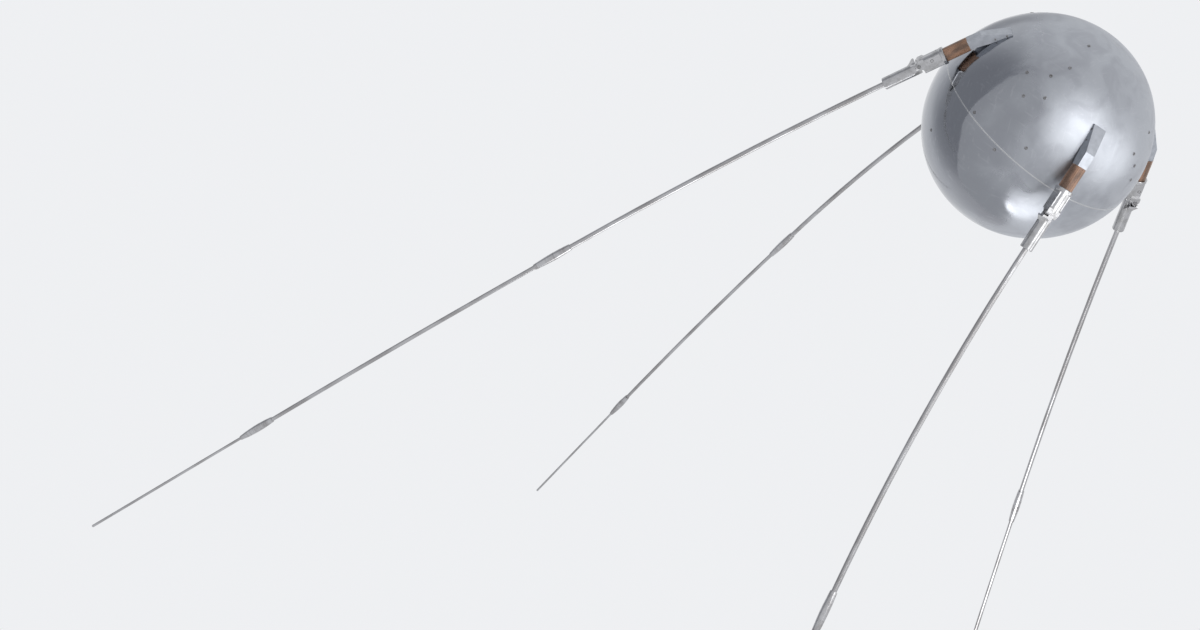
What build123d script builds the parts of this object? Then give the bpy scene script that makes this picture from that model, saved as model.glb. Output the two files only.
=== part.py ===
from build123d import *
import os
from math import acos, atan2, cos, degrees, radians, sin, sqrt

# Satellite hung as it flies: its nose axis is level, along +X, and +Z is up.
# The origin is the centre of the sphere. Sizes are in millimetres, angles in degrees.

# Sphere: two half shells joined at the seam plane, the front one under a heat shield.
sphere_radius = 290.0
heat_shield_wall = 1.0
shell_wall = 2.0
seat_gap = 0.2
gasket_thickness = 1.0
gasket_width = 22.0
seam_flange_thickness = 8.0
front_flange_width = 26.0
power_block_corner_radius = 225.0
power_block_length = 270.0
power_block_sides = 8

# Whip aerials: four alike, round the nose axis, trailing back and outwards.
spread_angle = 25.7
mount_angle = 73.5
axis_height = 21.0

# Fairing in front of each aerial, measured along the whip's axis and up from it.
fairing_length = 105.0
fairing_nose_height = -18.0
fairing_ridge_from_end = 37.0
fairing_ridge_height = 12.0
fairing_end_height = 14.0
fairing_end_underside = -8.0
fairing_foot_from_end = 56.0
fairing_foot_height = -18.0
fairing_base_width = 36.0
fairing_top_width = 25.0
fairing_root_depth = 50.0

# Insulator between fairing and holder.
insulator_diameter = 36.0
insulator_length = 62.0
insulator_edge = 1.0

# Holder: front ring, barrel and the fork that carries the hinge pin.
holder_ring_diameter = 46.0
holder_ring_length = 10.0
holder_barrel_diameter = 42.0
holder_barrel_length = 52.0
holder_barrel_flats = 31.0
holder_shoulder_height = 17.0
holder_edge = 1.5
pin_from_barrel = 7.0
pin_height = 10.0
tongue_radius = 7.0
slot_width = 14.0
slot_top = 17.6
slot_clearance = 1.0
hinge_side_clearance = 0.3

# Hinge pin with a flat head at each end.
pin_diameter = 8.0
pin_clearance = 0.05
pin_head_diameter = 11.0
pin_head_thickness = 1.5

# Cheeks of the fork, and the lug on the socket across a notch from one of them. Each has a
# side outline (along the whip, away from the sphere) and a plan outline (along the whip,
# along the hinge pin), both counted along the whip from the pin.
CHEEK_SIDE = [(-25, -6), (-25, 12), (-14, 20), (-2, 20), (6, 14.5), (8, 10), (6, 4.5), (0, 2), (-7, -5)]
CHEEK_PLAN = [(-25, 13), (-14, 15.5), (8, 15.5), (8, -18), (-14, -18), (-25, -14)]
LUG_SIDE = [(10, -4), (10, 13), (7.5, 17), (8, 20), (13, 20), (24, 13.5), (34, 9), (34, -4)]
LUG_PLAN = [(7.5, 0), (7.5, -19), (10, -21.5), (14, -21.5), (24, -15.5), (34, -12), (34, 0)]
thin_cheek_face = 15.5
thick_cheek_face = 18.0

# Socket: tongue, heel and lip at the hinge, then the barrel that grips the rod.
collar_gap = 3.0
socket_diameter = 32.0
socket_length = 90.0
socket_edge = 2.0
lip_start_from_pin = 0.5
lip_top = -12.0
scarf_top = 2.0
scarf_length = 17.0
tongue_root = 10.0
heel_root = 1.0
heel_bottom = 11.0
heel_top = 15.5
stop_gap = 0.3
rod_seat_depth = 60.0
rod_clearance = 0.1

# Rod: three lengths joined by two spindle-shaped couplings.
lower_rod_diameter = 14.0
middle_rod_diameter = 12.0
tip_rod_diameter = 8.0
coupling_length = 119.0
coupling_belly_radius = 11.0
coupling_lip = 2.2
coupling_wall = 12.0
coupling_cones = 8
first_coupling_at = 961.0
second_coupling_at = 2018.0
rod_end_at = 2720.0

# Aerials: name, turn about the nose axis from straight up, and how far its own weight
# turns the lower and the middle rod down.
AERIALS = [
    ("top", 0.0, 16.3, 4.9),
    ("right", 90.0, 8.1, 2.5),
    ("bottom", 180.0, 16.3, 4.9),
    ("left", 270.0, 8.1, 2.5),
]

# Places along the whip's axis, counted from the front of the insulator.
holder_start = insulator_length
barrel_start = holder_start + holder_ring_length
barrel_end = barrel_start + holder_barrel_length
pin_at = barrel_end + pin_from_barrel
slot_start = pin_at - tongue_radius - slot_clearance
collar_start = pin_at + tongue_radius + collar_gap
socket_end = collar_start + socket_length

tongue_width = slot_width - 2 * hinge_side_clearance
pin_radius = pin_diameter / 2
lower_rod_radius = lower_rod_diameter / 2
middle_rod_radius = middle_rod_diameter / 2
tip_rod_radius = tip_rod_diameter / 2

# How far a cutting solid runs past the face that it cuts.
cutter_reach = 1.0

os.makedirs("parts", exist_ok=True)


def save(name, shape):
    shape.label = name
    export_step(shape, f"parts/{name}.step")


def arc_middle(radius, start, end):
    """Point of a circle round the origin half way between two of its points."""
    middle = (atan2(start[1], start[0]) + atan2(end[1], end[0])) / 2
    return (radius * cos(middle), radius * sin(middle))


def cap(outer_radius, wall, edge_at, flange_inner_radius=None):
    """Half of a hollow ball whose edge plane is at edge_at, with an inner seam flange if one is given."""
    inner_radius = outer_radius - wall
    inner_at = edge_at if flange_inner_radius is None else edge_at + seam_flange_thickness
    outer_edge = (edge_at, sqrt(outer_radius**2 - edge_at**2))
    inner_edge = (inner_at, sqrt(inner_radius**2 - inner_at**2))
    outer_pole = (outer_radius, 0)
    inner_pole = (inner_radius, 0)
    outline = ThreePointArc(outer_edge, arc_middle(outer_radius, outer_edge, outer_pole), outer_pole)
    outline += Line(outer_pole, inner_pole)
    outline += ThreePointArc(inner_pole, arc_middle(inner_radius, inner_pole, inner_edge), inner_edge)
    if flange_inner_radius is None:
        outline += Line(inner_edge, outer_edge)
    else:
        outline += Polyline(
            inner_edge,
            (inner_at, flange_inner_radius),
            (edge_at, flange_inner_radius),
            outer_edge,
        )
    return revolve(make_face(outline), Axis.X)


def tube_along_x(start, length, outer_radius, inner_radius=0.0):
    place = Pos(start + length / 2, 0, 0) * Rot(0, 90, 0)
    solid = place * Cylinder(outer_radius, length)
    if inner_radius > 0:
        solid -= place * Cylinder(inner_radius, length + 2 * cutter_reach)
    return solid


# Sphere

front_shell_radius = sphere_radius - heat_shield_wall - seat_gap
seam_half = gasket_thickness / 2

heat_shield = cap(sphere_radius, heat_shield_wall, seam_half)
front_flange_inner_radius = front_shell_radius - front_flange_width
front_hemisphere = cap(front_shell_radius, shell_wall, seam_half, front_flange_inner_radius)
rear_flange_inner_radius = power_block_corner_radius + seat_gap
rear_hemisphere = Rot(0, 180, 0) * cap(sphere_radius, shell_wall, seam_half, rear_flange_inner_radius)
gasket_inner_radius = front_shell_radius - gasket_width
gasket = tube_along_x(-seam_half, gasket_thickness, front_shell_radius, gasket_inner_radius)
power_block = Plane.YZ * RegularPolygon(power_block_corner_radius, power_block_sides)
power_block = extrude(power_block, power_block_length / 2, both=True)

save("front_heat_shield", heat_shield)
save("front_hemisphere", front_hemisphere)
save("rear_hemisphere", rear_hemisphere)
save("seam_gasket", gasket)
save("power_supply_block", power_block)


# Pieces of one aerial. In their own frame X runs along the whip from the front of the
# insulator, Z points away from the sphere and Y lies along the hinge pin.

axis_radius = sphere_radius + axis_height
whip_direction = (-cos(radians(spread_angle)), sin(radians(spread_angle)))
mount_point = (axis_radius * cos(radians(mount_angle)), axis_radius * sin(radians(mount_angle)))
centre_along = -(mount_point[0] * whip_direction[0] + mount_point[1] * whip_direction[1])
centre_across = -(mount_point[0] * whip_direction[1] - mount_point[1] * whip_direction[0])


def fairing():
    """Wedge with a front facet up to a ridge, a rear facet along the whip and a raised underside."""
    side = Polyline(
        (-fairing_length, -fairing_root_depth),
        (-fairing_length, fairing_nose_height),
        (-fairing_ridge_from_end, fairing_ridge_height),
        (0, fairing_end_height),
        (0, fairing_end_underside),
        (-fairing_foot_from_end, fairing_foot_height),
        (-fairing_foot_from_end, -fairing_root_depth),
        close=True,
    )
    body = extrude(Plane.XZ * make_face(side), fairing_base_width, both=True)
    lean = (fairing_base_width - fairing_top_width) / 2 / (fairing_end_height - fairing_nose_height)
    top_half = fairing_top_width / 2
    root_half = top_half + lean * (fairing_end_height + fairing_root_depth)
    section = Polyline(
        (-root_half, -fairing_root_depth),
        (-top_half, fairing_end_height),
        (top_half, fairing_end_height),
        (root_half, -fairing_root_depth),
        close=True,
    )
    body &= extrude(Plane.YZ * make_face(section), fairing_length + cutter_reach, both=True)
    return body - Pos(centre_along, 0, centre_across) * Sphere(sphere_radius + seat_gap)


def insulator():
    solid = tube_along_x(0, insulator_length, insulator_diameter / 2)
    return chamfer(solid.edges().filter_by(GeomType.CIRCLE), insulator_edge)


def block(side, plan):
    """Solid at the hinge that has the given side and plan outlines."""
    reach = holder_ring_diameter
    upright = extrude(Plane.XZ * make_face(Polyline(*side, close=True)), reach, both=True)
    across = extrude(make_face(Polyline(*plan, close=True)), reach, both=True)
    return Pos(pin_at, 0, 0) * (upright & across)


def pin_bore(radius):
    return Pos(pin_at, 0, pin_height) * Rot(90, 0, 0) * Cylinder(radius, 2 * holder_ring_diameter)


def holder():
    solid = tube_along_x(holder_start, holder_ring_length, holder_ring_diameter / 2)
    solid = chamfer(solid.edges().filter_by(GeomType.CIRCLE), holder_edge)
    barrel = tube_along_x(barrel_start, holder_barrel_length, holder_barrel_diameter / 2)
    middle = barrel_start + holder_barrel_length / 2
    flats = Box(holder_barrel_length, holder_barrel_flats, holder_barrel_diameter)
    shoulders = Box(holder_barrel_length, holder_barrel_flats, holder_shoulder_height)
    barrel &= Pos(middle, 0, 0) * flats
    barrel += Pos(middle, 0, holder_shoulder_height / 2) * shoulders
    solid += barrel + block(CHEEK_SIDE, CHEEK_PLAN)
    slot_length = 4 * tongue_radius
    slot_height = holder_ring_diameter
    slot_place = Pos(slot_start + slot_length / 2, 0, slot_top - slot_height / 2)
    solid -= slot_place * Box(slot_length, slot_width, slot_height)
    return solid - pin_bore(pin_radius + pin_clearance)


def hinge_pin():
    length = thin_cheek_face + thick_cheek_face
    middle = (thin_cheek_face - thick_cheek_face) / 2
    heads = [
        (-thick_cheek_face - pin_head_thickness, -thick_cheek_face),
        (thin_cheek_face, thin_cheek_face + pin_head_thickness),
    ]
    solid = Pos(0, middle, 0) * Rot(90, 0, 0) * Cylinder(pin_radius, length)
    for low, high in heads:
        solid += Pos(0, (low + high) / 2, 0) * Rot(90, 0, 0) * Cylinder(pin_head_diameter / 2, high - low)
    return Pos(pin_at, 0, pin_height) * solid


def socket():
    lip_start = pin_at + lip_start_from_pin
    solid = tube_along_x(lip_start, socket_end - lip_start, socket_diameter / 2)
    end_edge = solid.edges().filter_by(GeomType.CIRCLE).sort_by(Axis.X)[-1]
    solid = fillet(end_edge, socket_edge)
    hinge_space = Polyline(
        (lip_start - cutter_reach, socket_diameter),
        (collar_start, socket_diameter),
        (collar_start, scarf_top),
        (collar_start + scarf_length, lip_top),
        (lip_start - cutter_reach, lip_top),
        close=True,
    )
    solid -= extrude(Plane.XZ * make_face(hinge_space), socket_diameter, both=True)
    solid += block(LUG_SIDE, LUG_PLAN)
    tongue_length = collar_start + tongue_root - pin_at
    solid += Pos(pin_at, 0, pin_height) * Rot(90, 0, 0) * Cylinder(tongue_radius, tongue_width)
    tongue_place = Pos(pin_at + tongue_length / 2, 0, pin_height)
    solid += tongue_place * Box(tongue_length, tongue_width, 2 * tongue_radius)
    heel_start = slot_start + stop_gap
    heel_length = collar_start + heel_root - heel_start
    heel = Box(heel_length, tongue_width, heel_top - heel_bottom)
    solid += Pos(heel_start + heel_length / 2, 0, (heel_top + heel_bottom) / 2) * heel
    seat_length = rod_seat_depth + cutter_reach
    solid -= tube_along_x(socket_end - rod_seat_depth, seat_length, lower_rod_radius + rod_clearance)
    return solid - pin_bore(pin_radius + pin_clearance)


# The rods lie in the upright plane through the whip's axis. In that plane X runs along the
# whip from the mouth of the socket and Y is the way its weight bends it.

def bent_rod(radius, lead, length, turn, tail):
    """Round rod with straight ends, its middle bent evenly by turn degrees."""
    start = (-lead, 0)
    path = Line(start, (0, 0))
    if turn > 0:
        bend = length / radians(turn)
        half = radians(turn) / 2
        middle = (bend * sin(half), bend * (1 - cos(half)))
        end = (bend * sin(2 * half), bend * (1 - cos(2 * half)))
        path += ThreePointArc((0, 0), middle, end)
    else:
        end = (length, 0)
        path += Line((0, 0), end)
    if tail > 0:
        path += Line(end, (end[0] + tail * cos(radians(turn)), end[1] + tail * sin(radians(turn))))
    return sweep(Plane(origin=(-lead, 0, 0), z_dir=(1, 0, 0)) * Circle(radius), path)


def after_bend(length, turn):
    """Place and direction at the end of an even bend."""
    if turn == 0:
        return Pos(length, 0, 0)
    bend = length / radians(turn)
    return Pos(bend * sin(radians(turn)), bend * (1 - cos(radians(turn))), 0) * Rot(0, 0, turn)


def coupling(front_radius, rear_radius):
    """Spindle-shaped sleeve of short cones that the ends of two rods enter."""
    front_lip = front_radius + coupling_lip
    rear_lip = rear_radius + coupling_lip
    outline = [(0, 0)]
    for step in range(coupling_cones + 1):
        part = step / coupling_cones
        chord = front_lip + (rear_lip - front_lip) * part
        swell = (coupling_belly_radius - (front_lip + rear_lip) / 2) * 4 * part * (1 - part)
        outline.append((coupling_length * part, chord + swell))
    outline.append((coupling_length, 0))
    solid = revolve(make_face(Polyline(*outline, close=True)), Axis.X)
    seat = (coupling_length - coupling_wall) / 2
    solid -= tube_along_x(-cutter_reach, seat + cutter_reach, front_radius + rod_clearance)
    rear_seat = tube_along_x(coupling_length - seat, seat + cutter_reach, rear_radius + rod_clearance)
    return solid - rear_seat


def rod_pieces(first_turn, second_turn):
    seat = (coupling_length - coupling_wall) / 2 - seat_gap
    first_length = first_coupling_at
    second_length = second_coupling_at - first_coupling_at - coupling_length
    third_length = rod_end_at - second_coupling_at - coupling_length
    lead = rod_seat_depth - seat_gap
    place = Pos(0, 0, 0)
    pieces = {"lower_rod": bent_rod(lower_rod_radius, lead, first_length, first_turn, seat)}
    place = after_bend(first_length, first_turn)
    pieces["first_coupling"] = place * coupling(lower_rod_radius, middle_rod_radius)
    place = place * Pos(coupling_length, 0, 0)
    pieces["middle_rod"] = place * bent_rod(middle_rod_radius, seat, second_length, second_turn, seat)
    place = place * after_bend(second_length, second_turn)
    pieces["second_coupling"] = place * coupling(middle_rod_radius, tip_rod_radius)
    place = place * Pos(coupling_length, 0, 0)
    tip = tube_along_x(-seat, seat + third_length, tip_rod_radius)
    tip += Pos(third_length, 0, 0) * Sphere(tip_rod_radius)
    pieces["tip_rod"] = place * tip
    return pieces


# Aerials in their places

for name, turn, first_turn, second_turn in AERIALS:
    outward = Vector(0, 0, 1).rotate(Axis.X, turn)
    nose = Vector(1, 0, 0)
    along = nose * whip_direction[0] + outward * whip_direction[1]
    away = nose * whip_direction[1] - outward * whip_direction[0]
    root = nose * mount_point[0] + outward * mount_point[1]
    mount_plane = Plane(origin=root, x_dir=along, z_dir=away)
    for piece, shape in (
        ("fairing", fairing()),
        ("insulator", insulator()),
        ("holder", holder()),
        ("hinge_pin", hinge_pin()),
        ("socket", socket()),
    ):
        save(f"{name}_{piece}", mount_plane.location * shape)
    down = Vector(0, 0, -1)
    droop = (down - along * down.dot(along)).normalized()
    rod_plane = Plane(origin=root + along * socket_end, x_dir=along, z_dir=along.cross(droop))
    for piece, shape in rod_pieces(first_turn, second_turn).items():
        save(f"{name}_{piece}", rod_plane.location * shape)
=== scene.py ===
import bpy
import math
from mathutils import Euler, Matrix, Vector


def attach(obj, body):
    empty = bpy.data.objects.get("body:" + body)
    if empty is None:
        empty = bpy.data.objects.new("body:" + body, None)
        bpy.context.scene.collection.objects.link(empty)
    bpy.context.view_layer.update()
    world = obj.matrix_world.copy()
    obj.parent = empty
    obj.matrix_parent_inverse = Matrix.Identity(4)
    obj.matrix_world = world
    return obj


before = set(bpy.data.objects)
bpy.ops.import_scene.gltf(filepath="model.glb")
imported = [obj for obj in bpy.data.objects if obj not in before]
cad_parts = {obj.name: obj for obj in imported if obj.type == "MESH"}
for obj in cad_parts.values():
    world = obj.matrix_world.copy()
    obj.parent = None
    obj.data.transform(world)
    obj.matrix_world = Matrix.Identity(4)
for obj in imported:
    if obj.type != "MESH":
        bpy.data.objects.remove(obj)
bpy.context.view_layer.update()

# Metres throughout. The nose axis is +X, +Z is up, and the sphere's centre is the origin.
SPHERE_RADIUS = 0.290

# Aerials: how far their roots lie from the sphere's centre, the roots' angle from the nose axis,
# and the whips' spread from the trailing end of that axis.
ROOT_RADIUS = 0.311
ROOT_ANGLE = math.radians(73.5)
SPREAD = math.radians(25.7)

# Turn of each aerial about the nose axis from straight up, and how far the whip's weight bends
# its lower and its middle rod down, all in degrees.
AERIALS = {
    "top": (0.0, 16.3, 4.9),
    "right": (90.0, 8.1, 2.5),
    "bottom": (180.0, 16.3, 4.9),
    "left": (270.0, 8.1, 2.5),
}

# Camera, as it was placed in the photograph: below the satellite, looking up past it.
CAMERA_PLACE = (1.3019, -1.8141, -3.3711)
CAMERA_RIGHT = (0.5231, 0.8485, 0.0799)
CAMERA_UP = (0.6325, -0.4494, 0.6307)
LENS = 44.66
SENSOR_WIDTH = 36.0
FARTHEST_SEEN = 200.0
FLOOR_BELOW_CAMERA = 0.25
FLOOR_SIZE = 600.0

# Soft round lamps: way from the sphere's centre, distance, width, watts. One of them lights the
# satellite without showing in its polish.
LAMPS = {
    "front_lamp": ((0.58, 0.16, -0.68), 2.7, 2.20, 25.0),
    "side_lamp": ((0.36, 0.82, -0.45), 2.9, 2.00, 14.0),
    "rear_lamp": ((-0.74, 0.38, -0.56), 2.6, 1.30, 12.0),
    "upper_lamp": ((0.55, 0.60, 0.58), 6.0, 5.00, 90.0),
}
UNMIRRORED_LAMP = "upper_lamp"

# Studio: pale all round, greyer low down, overhead and on the side away from the lamps. The
# stretches are heights of the way looked, or its closeness to the dim side, from -1 to 1.
PALE = (0.86, 0.87, 0.89)
LOW = (0.72, 0.72, 0.74)
DIM = (0.38, 0.39, 0.42)
DIM_SIDE = (-0.20, -0.96, -0.18)
LOW_TO_PALE = (-0.05, 0.50)
PALE_TO_OVERHEAD = (0.92, 1.00)
OVERHEAD_DIMMING = 0.7
PALE_TO_DIM_SIDE = (0.15, 0.80)

# Colours of the finishes, as shares of red, green and blue.
# The clear polish is darker than the hazed one: painted shade on the clearer side.
POLISH_CLEAR_PAINTED_SHADE = (0.34, 0.355, 0.385)
POLISH_HAZED = (0.465, 0.485, 0.52)
POLISH_CLOUDY = (0.33, 0.34, 0.375)
POLISH_SCUFF = (0.62, 0.63, 0.66)
# A painted highlight along the seam.
SEAM_PAINTED_HIGHLIGHT = (0.70, 0.71, 0.72)
PLATE_DARK = (0.40, 0.42, 0.455)
PLATE_LIGHT = (0.49, 0.51, 0.55)
TURNED_BRIGHT = (0.56, 0.56, 0.57)
TURNED_DULL = (0.42, 0.42, 0.42)
DRAWN_BRIGHT = (0.60, 0.60, 0.61)
DRAWN_DULL = (0.42, 0.41, 0.41)
SLEEVE_DULL = (0.43, 0.42, 0.42)
TOOL_MARK = (0.27, 0.26, 0.26)
LAMINATE_DARK = (0.170, 0.092, 0.058)
LAMINATE_LIGHT = (0.440, 0.255, 0.165)
LAMINATE_DIRT = (0.045, 0.030, 0.022)
STEEL_BRIGHT = (0.34, 0.34, 0.35)
STEEL_DULL = (0.16, 0.155, 0.15)
RUBBER_CLEAN = (0.60, 0.60, 0.61)
RUBBER_DUSTY = (0.78, 0.78, 0.78)
CASE_DARK = (0.16, 0.17, 0.18)
CASE_LIGHT = (0.22, 0.23, 0.24)
FLOOR_DARK = (0.845, 0.845, 0.850)
FLOOR_LIGHT = (0.860, 0.860, 0.865)

# Polish: how its haze grows along X, Y and Z, its colour darkening where the haze is less, as a painted
# shade on the clearer side, the turns of its three sets of scuffs, and how far from the seam's plane
# the painted highlight along the seam begins to fade and is gone.
HAZE_AND_SHADE_GROWTH = (1.70, 3.10, -0.70)
SCUFF_TURNS = ((0.0, 0.5, 0.3), (0.0, 1.9, 0.9), (0.0, 1.1, 2.2))
SEAM_HIGHLIGHT_FADE = (0.0011, 0.0019)

# Screws on the shells: angle from the nose axis, turn about it from straight up, in degrees.
# Each has a fellow half a turn round the nose axis.
SHELL_SCREWS = [
    (57.0, 125.9), (49.5, 136.3), (65.3, 135.8), (58.8, 144.3), (39.6, 139.4),
    (21.9, 127.5), (92.6, 145.3), (87.8, 124.9), (81.6, 155.6), (115.7, 107.2),
    (47.5, 229.7), (58.0, 213.7), (63.8, 219.0), (71.3, 222.4),
]

# Sizes of the screws: radius and height of the head, and how deep its foot is sunk.
SHELL_SCREW = (0.0042, 0.0010, 0.0010)
FAIRING_SCREW = (0.0026, 0.0006, 0.0010)
GRUB_SCREW = (0.0020, 0.0002, 0.0015)
FLANK_SCREW = (0.0045, 0.0003, 0.0020)

# Screws on a bracket, in its aerial's own frame: along the whip, out along the hinge pin, and up
# from the sphere. Those on the fairing, whose sides lean in, and those on the holder's flanks are
# on both sides. The grub screws face away from the sphere.
FAIRING_LEAN = math.radians(9.8)
FAIRING_SCREWS = [(-0.092, 0.01775, -0.0165), (-0.063, 0.0170, -0.0120)]
FLANK_SCREW_PLACE = (0.096, 0.0155, 0.0095)
GRUB_SCREWS = [(0.0790, -0.0035, 0.0206), (0.1225, -0.0035, 0.0200)]

# Corners round a screw's head, and the angle up to which two of its faces are shaded as one.
SLOTTED_SCREW_SIDES = 28
RECESSED_SCREW_SIDES = 24
SMOOTH_BELOW = math.radians(40)


def deselect():
    bpy.ops.object.select_all(action="DESELECT")


def aerial_place(turn):
    """Frame of an aerial: X along the whip, Z away from the sphere, Y along the hinge pin."""
    angle = math.radians(turn)
    outward = Vector((0, -math.sin(angle), math.cos(angle)))
    nose = Vector((1, 0, 0))
    along = outward * math.sin(SPREAD) - nose * math.cos(SPREAD)
    away = outward * math.cos(SPREAD) + nose * math.sin(SPREAD)
    root = (nose * math.cos(ROOT_ANGLE) + outward * math.sin(ROOT_ANGLE)) * ROOT_RADIUS
    turned = Matrix((along, away.cross(along), away)).transposed().to_4x4()
    return Matrix.Translation(root) @ turned


def bent_place(place, degrees):
    """An aerial's frame with its X axis turned down, as the bend of the whip turns it."""
    turned = place.to_3x3()
    level = turned.col[0].cross(Vector((0, 0, -1))).normalized()
    turned = Matrix.Rotation(math.radians(degrees), 3, level) @ turned
    return Matrix.Translation(place.translation) @ turned.to_4x4()


# Camera and lamps

def make_camera():
    right = Vector(CAMERA_RIGHT).normalized()
    up = Vector(CAMERA_UP)
    up = (up - right * up.dot(right)).normalized()
    back = right.cross(up)
    turn = Matrix((right, up, back)).transposed().to_4x4()
    bpy.ops.object.camera_add()
    camera = bpy.context.object
    camera.name = "camera"
    camera.matrix_world = Matrix.Translation(CAMERA_PLACE) @ turn
    camera.data.lens = LENS
    camera.data.sensor_width = SENSOR_WIDTH
    camera.data.clip_end = FARTHEST_SEEN
    bpy.context.scene.camera = camera


def make_lamps():
    for name, (way, distance, width, watts) in LAMPS.items():
        bpy.ops.object.light_add(type="AREA", location=Vector(way).normalized() * distance)
        lamp = bpy.context.object
        lamp.name = name
        lamp.rotation_euler = Vector(way).to_track_quat("Z", "Y").to_euler()
        lamp.data.shape = "DISK"
        lamp.data.size = width
        lamp.data.energy = watts
        lamp.visible_camera = False
        lamp.visible_glossy = name != UNMIRRORED_LAMP


# Shader nodes

# The sockets of a colour mix go by number, because several share a name.
MIX_AMOUNT = 0
MIX_FIRST = 6
MIX_SECOND = 7
MIX_RESULT = 2


def put(tree, kind, sockets=None, **settings):
    """Adds a shader node. A socket is given a value, or the output that feeds it."""
    made = tree.nodes.new("ShaderNode" + kind)
    for key, value in settings.items():
        setattr(made, key, value)
    for key, value in (sockets or {}).items():
        if isinstance(value, bpy.types.NodeSocket):
            tree.links.new(value, made.inputs[key])
        else:
            made.inputs[key].default_value = value
    return made


def new_material(name):
    material = bpy.data.materials.new(name)
    material.use_nodes = True
    tree = material.node_tree
    tree.nodes.clear()
    shader = put(tree, "BsdfPrincipled")
    put(tree, "OutputMaterial", {"Surface": shader.outputs["BSDF"]})
    return material, tree, shader


def object_point(tree, place=None):
    """Object coordinates, or those of the frame that is given."""
    point = put(tree, "TexCoord").outputs["Object"]
    if place is None:
        return point
    back = place.inverted()
    sockets = {"Vector": point, "Location": back.to_translation(), "Rotation": back.to_euler()}
    return put(tree, "Mapping", sockets).outputs["Vector"]


def stretched(tree, point, scale, turn=(0, 0, 0)):
    """The point turned and scaled, so that noise over it has other sizes along X, Y and Z."""
    sockets = {"Vector": point, "Scale": scale, "Rotation": turn}
    return put(tree, "Mapping", sockets).outputs["Vector"]


def noise(tree, point, scale, detail=2.0, distortion=0.0):
    """Noise with about so many features to the metre as scale says."""
    sockets = {"Vector": point, "Scale": scale, "Detail": detail, "Distortion": distortion}
    return put(tree, "TexNoise", sockets).outputs["Fac"]


def spread_over(tree, value, low, high, to_low=0.0, to_high=1.0):
    """Takes the stretch from low to high smoothly to the one from to_low to to_high."""
    sockets = {"Value": value, "From Min": low, "From Max": high, "To Min": to_low, "To Max": to_high}
    return put(tree, "MapRange", sockets, interpolation_type="SMOOTHSTEP").outputs["Result"]


def arithmetic(tree, operation, *values):
    return put(tree, "Math", dict(enumerate(values)), operation=operation).outputs["Value"]


def sum_of(tree, *values):
    total = values[0]
    for value in values[1:]:
        total = arithmetic(tree, "ADD", total, value)
    return total


def dot_product(tree, first, second):
    made = put(tree, "VectorMath", {0: first, 1: second}, operation="DOT_PRODUCT")
    return made.outputs["Value"]


def colours(tree, amount, first, second):
    """Mix of two colours, each given as such or as the output that feeds it."""
    sockets = {MIX_AMOUNT: amount}
    for index, value in ((MIX_FIRST, first), (MIX_SECOND, second)):
        sockets[index] = value if isinstance(value, bpy.types.NodeSocket) else (*value, 1.0)
    return put(tree, "Mix", sockets, data_type="RGBA", clamp_factor=True).outputs[MIX_RESULT]


def relief(tree, shader, *layers):
    """Bump from layers of (height, depth in metres), the coarsest first."""
    normal = None
    for height, depth in layers:
        sockets = {"Height": height, "Distance": depth}
        if normal is not None:
            sockets["Normal"] = normal
        normal = put(tree, "Bump", sockets).outputs["Normal"]
    tree.links.new(normal, shader.inputs["Normal"])


def surface(tree, shader, base, roughness, metallic):
    tree.links.new(base, shader.inputs["Base Color"])
    tree.links.new(roughness, shader.inputs["Roughness"])
    shader.inputs["Metallic"].default_value = metallic


# Materials

def scuff_lines(tree, point, turn):
    """One set of fine scuffs, where they run along the sheet and not into it."""
    turned = stretched(tree, point, (1, 1, 1), turn)
    streak = noise(tree, stretched(tree, turned, (6, 190, 190)), 1.0, 1.0)
    streak = spread_over(tree, streak, 0.62, 0.76)
    run = dot_product(tree, point, Euler(turn).to_matrix()[0])
    run = spread_over(tree, arithmetic(tree, "ABSOLUTE", run), 0.12, 0.20, 1.0, 0.0)
    return arithmetic(tree, "MULTIPLY", streak, run)


def polished_shell():
    """Mirror-polished sheet: slightly wavy, hazier on one side and darker on the clearer side as painted
    shade, with fine scuffs all over and a painted highlight along the seam.
    """
    material, tree, shader = new_material("polished_shell")
    point = object_point(tree)
    waves = noise(tree, point, 7.0, 1.0)
    ripples = noise(tree, point, 26.0, 1.5)
    # The haze roughens the polish and lightens its colour; the darker colour where it is clear is painted
    # shade.
    haze_and_painted_shade = sum_of(tree, dot_product(tree, point, HAZE_AND_SHADE_GROWTH), noise(tree, point, 9.0, 3.0, 0.6))
    haze_and_painted_shade = spread_over(tree, haze_and_painted_shade, -0.05, 0.65)
    cloudy = spread_over(tree, noise(tree, point, 15.0, 3.0, 0.8), 0.40, 0.70, 0.0, 0.45)
    scuffs = sum_of(tree, *(scuff_lines(tree, point, turn) for turn in SCUFF_TURNS))
    scuffs = spread_over(tree, scuffs, 0.0, 1.0, 0.0, 0.16)
    from_seam = arithmetic(tree, "ABSOLUTE", put(tree, "SeparateXYZ", {"Vector": point}).outputs["X"])
    # Painted highlight: a bright band on the shell along the seam.
    seam_highlight = spread_over(tree, from_seam, *SEAM_HIGHLIGHT_FADE, 1.0, 0.0)
    base = colours(tree, haze_and_painted_shade, POLISH_CLEAR_PAINTED_SHADE, POLISH_HAZED)
    base = colours(tree, cloudy, base, POLISH_CLOUDY)
    base = colours(tree, scuffs, base, POLISH_SCUFF)
    base = colours(tree, seam_highlight, base, SEAM_PAINTED_HIGHLIGHT)
    surface(tree, shader, base, spread_over(tree, haze_and_painted_shade, 0.0, 1.0, 0.09, 0.42), metallic=1.0)
    relief(tree, shader, (waves, 0.0050), (ripples, 0.00040))
    return material


def milled(place):
    """Satin milled plate, its tool marks along the whip."""
    material, tree, shader = new_material("satin_plate")
    point = object_point(tree, place)
    marks = noise(tree, stretched(tree, point, (14, 900, 900)), 1.0, 3.0)
    stains = spread_over(tree, noise(tree, point, 60.0, 3.0), 0.3, 0.75)
    base = colours(tree, stains, PLATE_DARK, PLATE_LIGHT)
    surface(tree, shader, base, spread_over(tree, marks, 0.3, 0.7, 0.34, 0.50), metallic=1.0)
    relief(tree, shader, (marks, 0.00006))
    return material


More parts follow.
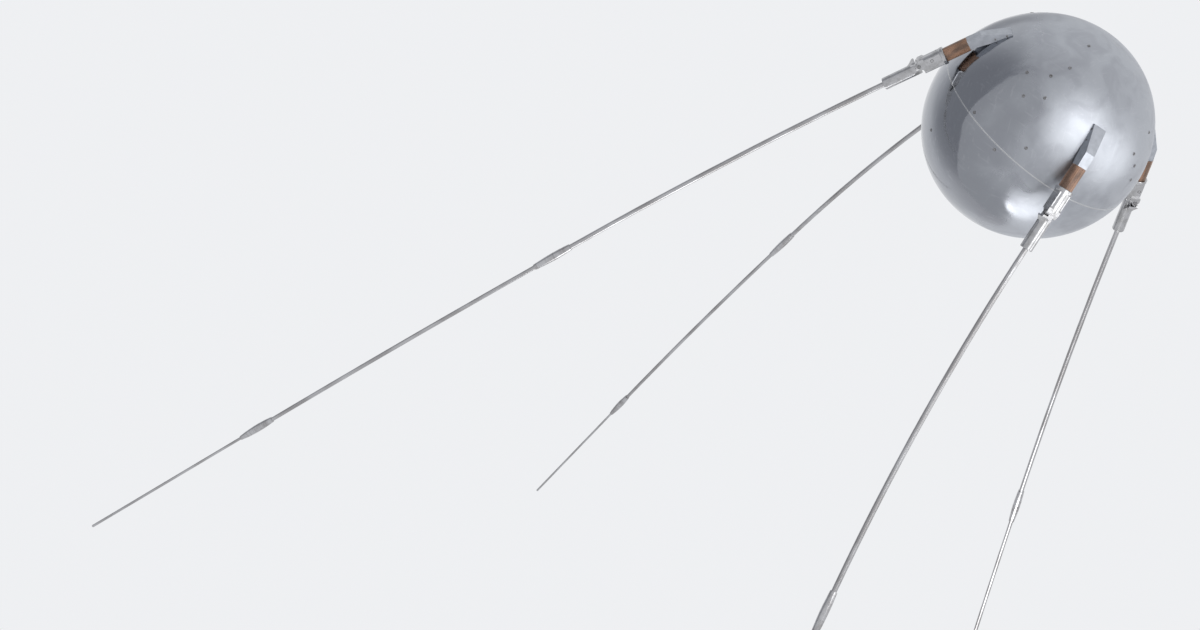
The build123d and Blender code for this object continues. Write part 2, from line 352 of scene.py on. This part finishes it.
def turned_metal(place):
    """Bright turned metal: fine rings round the whip's axis, with dull patches."""
    material, tree, shader = new_material("bright_turned_metal")
    point = object_point(tree, place)
    rings = noise(tree, stretched(tree, point, (380, 8, 8)), 1.0, 2.0)
    dull = noise(tree, point, 55.0, 2.0, 0.5)
    base = colours(tree, spread_over(tree, dull, 0.35, 0.75), TURNED_BRIGHT, TURNED_DULL)
    roughness = spread_over(tree, dull, 0.35, 0.7, 0.14, 0.22)
    roughness = sum_of(tree, roughness, spread_over(tree, rings, 0.3, 0.7, 0.0, 0.06))
    surface(tree, shader, base, roughness, metallic=1.0)
    relief(tree, shader, (rings, 0.000012))
    return material


def drawn_rod(place):
    """Drawn tube, its draw lines lengthwise, with dull patches from handling."""
    material, tree, shader = new_material("drawn_rod")
    point = object_point(tree, place)
    lines = noise(tree, stretched(tree, point, (2.5, 420, 420)), 1.0, 2.0)
    dull = noise(tree, stretched(tree, point, (9, 30, 30)), 1.0, 3.0)
    base = colours(tree, spread_over(tree, dull, 0.36, 0.66), DRAWN_BRIGHT, DRAWN_DULL)
    base = colours(tree, spread_over(tree, lines, 0.45, 0.70, 0.0, 0.5), base, TOOL_MARK)
    roughness = spread_over(tree, dull, 0.35, 0.70, 0.13, 0.27)
    roughness = sum_of(tree, roughness, spread_over(tree, lines, 0.3, 0.7, 0.0, 0.08))
    surface(tree, shader, base, roughness, metallic=1.0)
    relief(tree, shader, (lines, 0.00002))
    return material


def turned_sleeve(place):
    """Sleeve turned to a spindle shape, with tool marks round it."""
    material, tree, shader = new_material("turned_sleeve")
    point = object_point(tree, place)
    rings = noise(tree, stretched(tree, point, (260, 5, 5)), 1.0, 3.0)
    dull = noise(tree, point, 34.0, 2.0)
    base = colours(tree, spread_over(tree, dull, 0.38, 0.68), DRAWN_BRIGHT, SLEEVE_DULL)
    base = colours(tree, spread_over(tree, rings, 0.48, 0.72, 0.0, 0.5), base, TOOL_MARK)
    roughness = spread_over(tree, dull, 0.35, 0.70, 0.15, 0.26)
    roughness = sum_of(tree, roughness, spread_over(tree, rings, 0.3, 0.7, 0.0, 0.08))
    surface(tree, shader, base, roughness, metallic=1.0)
    relief(tree, shader, (rings, 0.00003))
    return material


def brown_laminate(place):
    """Turned brown laminate of resin and cloth, its layers along the whip."""
    material, tree, shader = new_material("brown_laminate")
    point = object_point(tree, place)
    wave = {"Vector": point, "Scale": 160.0, "Distortion": 0.7, "Detail": 1.0, "Detail Scale": 0.6}
    layers = put(tree, "TexWave", wave, bands_direction="Z").outputs["Fac"]
    layers = spread_over(tree, layers, 0.0, 1.0, 0.0, 0.45)
    cloth = noise(tree, stretched(tree, point, (260, 900, 700)), 1.0, 2.0)
    grain = sum_of(tree, layers, spread_over(tree, cloth, 0.3, 0.7, 0.0, 0.55))
    dirt = noise(tree, stretched(tree, point, (16, 40, 40)), 1.0, 1.0)
    base = colours(tree, grain, LAMINATE_DARK, LAMINATE_LIGHT)
    base = colours(tree, spread_over(tree, dirt, 0.42, 0.68, 0.0, 0.7), base, LAMINATE_DIRT)
    surface(tree, shader, base, spread_over(tree, cloth, 0.3, 0.7, 0.24, 0.42), metallic=0.0)
    relief(tree, shader, (cloth, 0.00008))
    return material


def turned_steel():
    """Dark steel of the hinge pins and the screws."""
    material, tree, shader = new_material("turned_steel")
    point = object_point(tree)
    dull = noise(tree, point, 300.0, 3.0)
    base = colours(tree, spread_over(tree, dull, 0.35, 0.7), STEEL_BRIGHT, STEEL_DULL)
    surface(tree, shader, base, spread_over(tree, dull, 0.3, 0.7, 0.25, 0.45), metallic=1.0)
    relief(tree, shader, (noise(tree, point, 900.0, 2.0), 0.00002))
    return material


def moulded_rubber():
    """Pale grey rubber of the seam's gasket, dusty in patches."""
    material, tree, shader = new_material("moulded_rubber")
    point = object_point(tree)
    dust = noise(tree, point, 120.0, 4.0)
    base = colours(tree, spread_over(tree, dust, 0.4, 0.8), RUBBER_CLEAN, RUBBER_DUSTY)
    surface(tree, shader, base, spread_over(tree, dust, 0.3, 0.7, 0.55, 0.75), metallic=0.0)
    relief(tree, shader, (dust, 0.0001))
    return material


def painted_case():
    """Dark grey paint of the power supply's case, with a slight orange peel."""
    material, tree, shader = new_material("painted_case")
    point = object_point(tree)
    peel = noise(tree, point, 400.0, 2.0)
    base = colours(tree, noise(tree, point, 12.0, 3.0), CASE_DARK, CASE_LIGHT)
    surface(tree, shader, base, spread_over(tree, peel, 0.3, 0.7, 0.45, 0.6), metallic=0.0)
    relief(tree, shader, (peel, 0.0001))
    return material


def floor_paint():
    """Pale paint that shows only from above, so that a view from under the floor is clear."""
    material, tree, shader = new_material("floor_paint")
    point = object_point(tree)
    worn = noise(tree, point, 4.0, 5.0)
    base = colours(tree, spread_over(tree, worn, 0.3, 0.7), FLOOR_DARK, FLOOR_LIGHT)
    surface(tree, shader, base, spread_over(tree, worn, 0.3, 0.7, 0.70, 0.85), metallic=0.0)
    relief(tree, shader, (noise(tree, point, 60.0, 2.0), 0.0005))
    output = next(node for node in tree.nodes if node.type == "OUTPUT_MATERIAL")
    below = put(tree, "NewGeometry").outputs["Backfacing"]
    clear = put(tree, "BsdfTransparent").outputs["BSDF"]
    one_sided = put(tree, "MixShader", {"Fac": below, 1: shader.outputs["BSDF"], 2: clear})
    tree.links.new(one_sided.outputs["Shader"], output.inputs["Surface"])
    return material


# Studio

def make_floor():
    deselect()
    floor_height = CAMERA_PLACE[2] - FLOOR_BELOW_CAMERA
    bpy.ops.mesh.primitive_plane_add(size=FLOOR_SIZE, location=(0, 0, floor_height))
    floor = bpy.context.object
    floor.name = "floor"
    floor.data.materials.append(floor_paint())


def make_world():
    world = bpy.data.worlds.new("studio")
    world.use_nodes = True
    bpy.context.scene.world = world
    tree = world.node_tree
    tree.nodes.clear()
    way = put(tree, "TexCoord").outputs["Generated"]
    height = put(tree, "SeparateXYZ", {"Vector": way}).outputs["Z"]
    dimness = dot_product(tree, way, Vector(DIM_SIDE).normalized())
    overhead = spread_over(tree, height, *PALE_TO_OVERHEAD, 0.0, OVERHEAD_DIMMING)
    tone = colours(tree, spread_over(tree, height, *LOW_TO_PALE), LOW, PALE)
    tone = colours(tree, overhead, tone, DIM)
    tone = colours(tree, spread_over(tree, dimness, *PALE_TO_DIM_SIDE), tone, DIM)
    light = put(tree, "Background", {"Color": tone, "Strength": 1.0}).outputs["Background"]
    put(tree, "OutputWorld", {"Surface": light})


# Screws, each kind modelled once and copied

# A face on top of a head faces up by at least so much, and the small ones have few corners.
FACING_UP = 0.99
FEW_CORNERS = 8


def is_top(face):
    return face.normal.z > FACING_UP


def is_cap(face):
    """Holds for the round face on top, and not for the small ones round it."""
    return is_top(face) and len(face.vertices) > FEW_CORNERS


def pick_faces(piece, wanted):
    """Selects, in edit mode, the faces for which wanted(face) holds."""
    bpy.ops.object.mode_set(mode="OBJECT")
    for part in (*piece.data.vertices, *piece.data.edges, *piece.data.polygons):
        part.select = False
    for face in piece.data.polygons:
        face.select = wanted(face)
    bpy.ops.object.mode_set(mode="EDIT")
    bpy.ops.mesh.select_mode(type="FACE")


def plain_screw(sides, radius, height, sunk):
    """Plain round head with its foot sunk below Z = 0, in edit mode with its top selected."""
    deselect()
    middle = (0, 0, (height - sunk) / 2)
    bpy.ops.mesh.primitive_cylinder_add(vertices=sides, radius=radius, depth=height + sunk, location=middle)
    piece = bpy.context.object
    bpy.ops.object.transform_apply(location=True, rotation=True, scale=True)
    pick_faces(piece, is_cap)
    return piece


def sink(depth):
    """Sinks the selected faces and leaves edit mode."""
    bpy.ops.mesh.extrude_region_move(TRANSFORM_OT_translate={"value": (0, 0, -depth)})
    bpy.ops.object.mode_set(mode="OBJECT")


def slotted_screw(radius, height, sunk):
    """Low round head with a rounded edge and a slot."""
    piece = plain_screw(SLOTTED_SCREW_SIDES, radius, height, sunk)
    edge_width = height * 0.45
    rim_width = radius * 0.10
    slot_half = radius * 0.16
    slot_depth = height * 0.8
    inside_rim = radius * 0.75
    near_middle = radius * 0.3
    bpy.ops.mesh.bevel(offset=edge_width, segments=2, affect="EDGES")
    pick_faces(piece, is_cap)
    bpy.ops.mesh.inset(thickness=rim_width)
    pick_faces(piece, is_cap)
    for side in (-1, 1):
        bpy.ops.mesh.bisect(plane_co=(0, side * slot_half, 0), plane_no=(0, 1, 0))
        pick_faces(piece, lambda face: is_top(face) and face.center.xy.length < inside_rim)

    def is_slot(face):
        place = face.center
        return is_top(face) and abs(place.y) < slot_half / 2 and place.xy.length < near_middle

    pick_faces(piece, is_slot)
    sink(slot_depth)
    return piece


def recessed_screw(radius, height, sunk):
    """Small screw with a round recess in its head."""
    piece = plain_screw(RECESSED_SCREW_SIDES, radius, height, sunk)
    rim_width = radius * 0.38
    recess_depth = sunk * 0.8
    bpy.ops.mesh.inset(thickness=rim_width)
    sink(recess_depth)
    return piece


def screws(pattern, places, name, material):
    """One piece on the sphere's body, made of a copy of the pattern at each place."""
    deselect()
    for place in places:
        copied = pattern.copy()
        copied.data = pattern.data.copy()
        bpy.context.collection.objects.link(copied)
        copied.data.transform(place)
        copied.select_set(True)
        bpy.context.view_layer.objects.active = copied
    bpy.ops.object.join()
    piece = bpy.context.object
    piece.name = name
    piece.data.name = name
    piece.data.materials.clear()
    piece.data.materials.append(material)
    bpy.ops.object.shade_smooth_by_angle(angle=SMOOTH_BELOW)
    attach(piece, "sphere")


def standing_on(point, normal, spin=0.0):
    """Place on a point, with Z along the normal and turned about it by spin."""
    turned = Vector(normal).to_track_quat("Z", "Y").to_matrix().to_4x4()
    return Matrix.Translation(point) @ turned @ Matrix.Rotation(spin, 4, "Z")


def add_shell_screws(material):
    """The screws of the half shells, each slot left pointing its own way."""
    pattern = slotted_screw(*SHELL_SCREW)
    standing = []
    for polar, turn in SHELL_SCREWS:
        tilt = math.radians(polar)
        for side in (0.0, 180.0):
            angle = math.radians(turn + side)
            across = -math.sin(tilt) * math.sin(angle)
            normal = Vector((math.cos(tilt), across, math.sin(tilt) * math.cos(angle)))
            standing.append(standing_on(normal * SPHERE_RADIUS, normal, spin=polar + turn))
    screws(pattern, standing, "shell_screws", material)
    bpy.data.objects.remove(pattern)


def add_bracket_screws(places, material):
    """The screws of the four fairings and holders."""
    fairing_pattern = slotted_screw(*FAIRING_SCREW)
    grub_pattern = recessed_screw(*GRUB_SCREW)
    flank_pattern = recessed_screw(*FLANK_SCREW)
    for name, place in places.items():
        turned = place.to_3x3()
        away = turned @ Vector((0, 0, 1))
        on_fairing = []
        on_flanks = []
        for side in (-1, 1):
            way = turned @ Vector((0, side * math.cos(FAIRING_LEAN), math.sin(FAIRING_LEAN)))
            for along, out, up in FAIRING_SCREWS:
                point = place @ Vector((along, side * out, up))
                on_fairing.append(standing_on(point, way, spin=along * 90))
            along, out, up = FLANK_SCREW_PLACE
            way = turned @ Vector((0, side, 0))
            on_flanks.append(standing_on(place @ Vector((along, side * out, up)), way))
        on_top = [standing_on(place @ Vector(point), away) for point in GRUB_SCREWS]
        screws(fairing_pattern, on_fairing, name + "_fairing_screws", material)
        screws(grub_pattern, on_top, name + "_holder_grub_screws", material)
        screws(flank_pattern, on_flanks, name + "_holder_flank_screws", material)
    for pattern in (fairing_pattern, grub_pattern, flank_pattern):
        bpy.data.objects.remove(pattern)


# Finishes of the CAD pieces

def aerial_finishes(place, first_bend, second_bend, steel_finish):
    """The finish of each piece of one aerial, the rods' along the way that each is bent."""
    turned = turned_metal(place)
    far_rod = drawn_rod(bent_place(place, first_bend + second_bend / 2))
    return {
        "fairing": milled(place),
        "insulator": brown_laminate(place),
        "holder": turned,
        "hinge_pin": steel_finish,
        "socket": turned,
        "lower_rod": drawn_rod(bent_place(place, first_bend / 2)),
        "first_coupling": turned_sleeve(bent_place(place, first_bend)),
        "middle_rod": far_rod,
        "second_coupling": turned_sleeve(bent_place(place, first_bend + second_bend)),
        "tip_rod": far_rod,
    }


def dress_nodes(places, steel_finish):
    """Gives each CAD piece its finish."""
    shell_finish = polished_shell()
    sphere_finishes = {"seam_gasket": moulded_rubber(), "power_supply_block": painted_case()}
    finishes = {}
    for name, (_, first_bend, second_bend) in AERIALS.items():
        finishes[name] = aerial_finishes(places[name], first_bend, second_bend, steel_finish)
    for node_name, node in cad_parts.items():
        aerial, _, piece_name = node_name.partition("_")
        if aerial in finishes:
            material = finishes[aerial][piece_name]
        else:
            material = sphere_finishes.get(node_name, shell_finish)
        node.data.materials.clear()
        node.data.materials.append(material)


make_camera()
make_floor()
make_world()
make_lamps()

places = {name: aerial_place(turn) for name, (turn, _, _) in AERIALS.items()}
steel_finish = turned_steel()
dress_nodes(places, steel_finish)
add_shell_screws(steel_finish)
add_bracket_screws(places, steel_finish)

bpy.context.scene.view_settings.view_transform = "Standard"
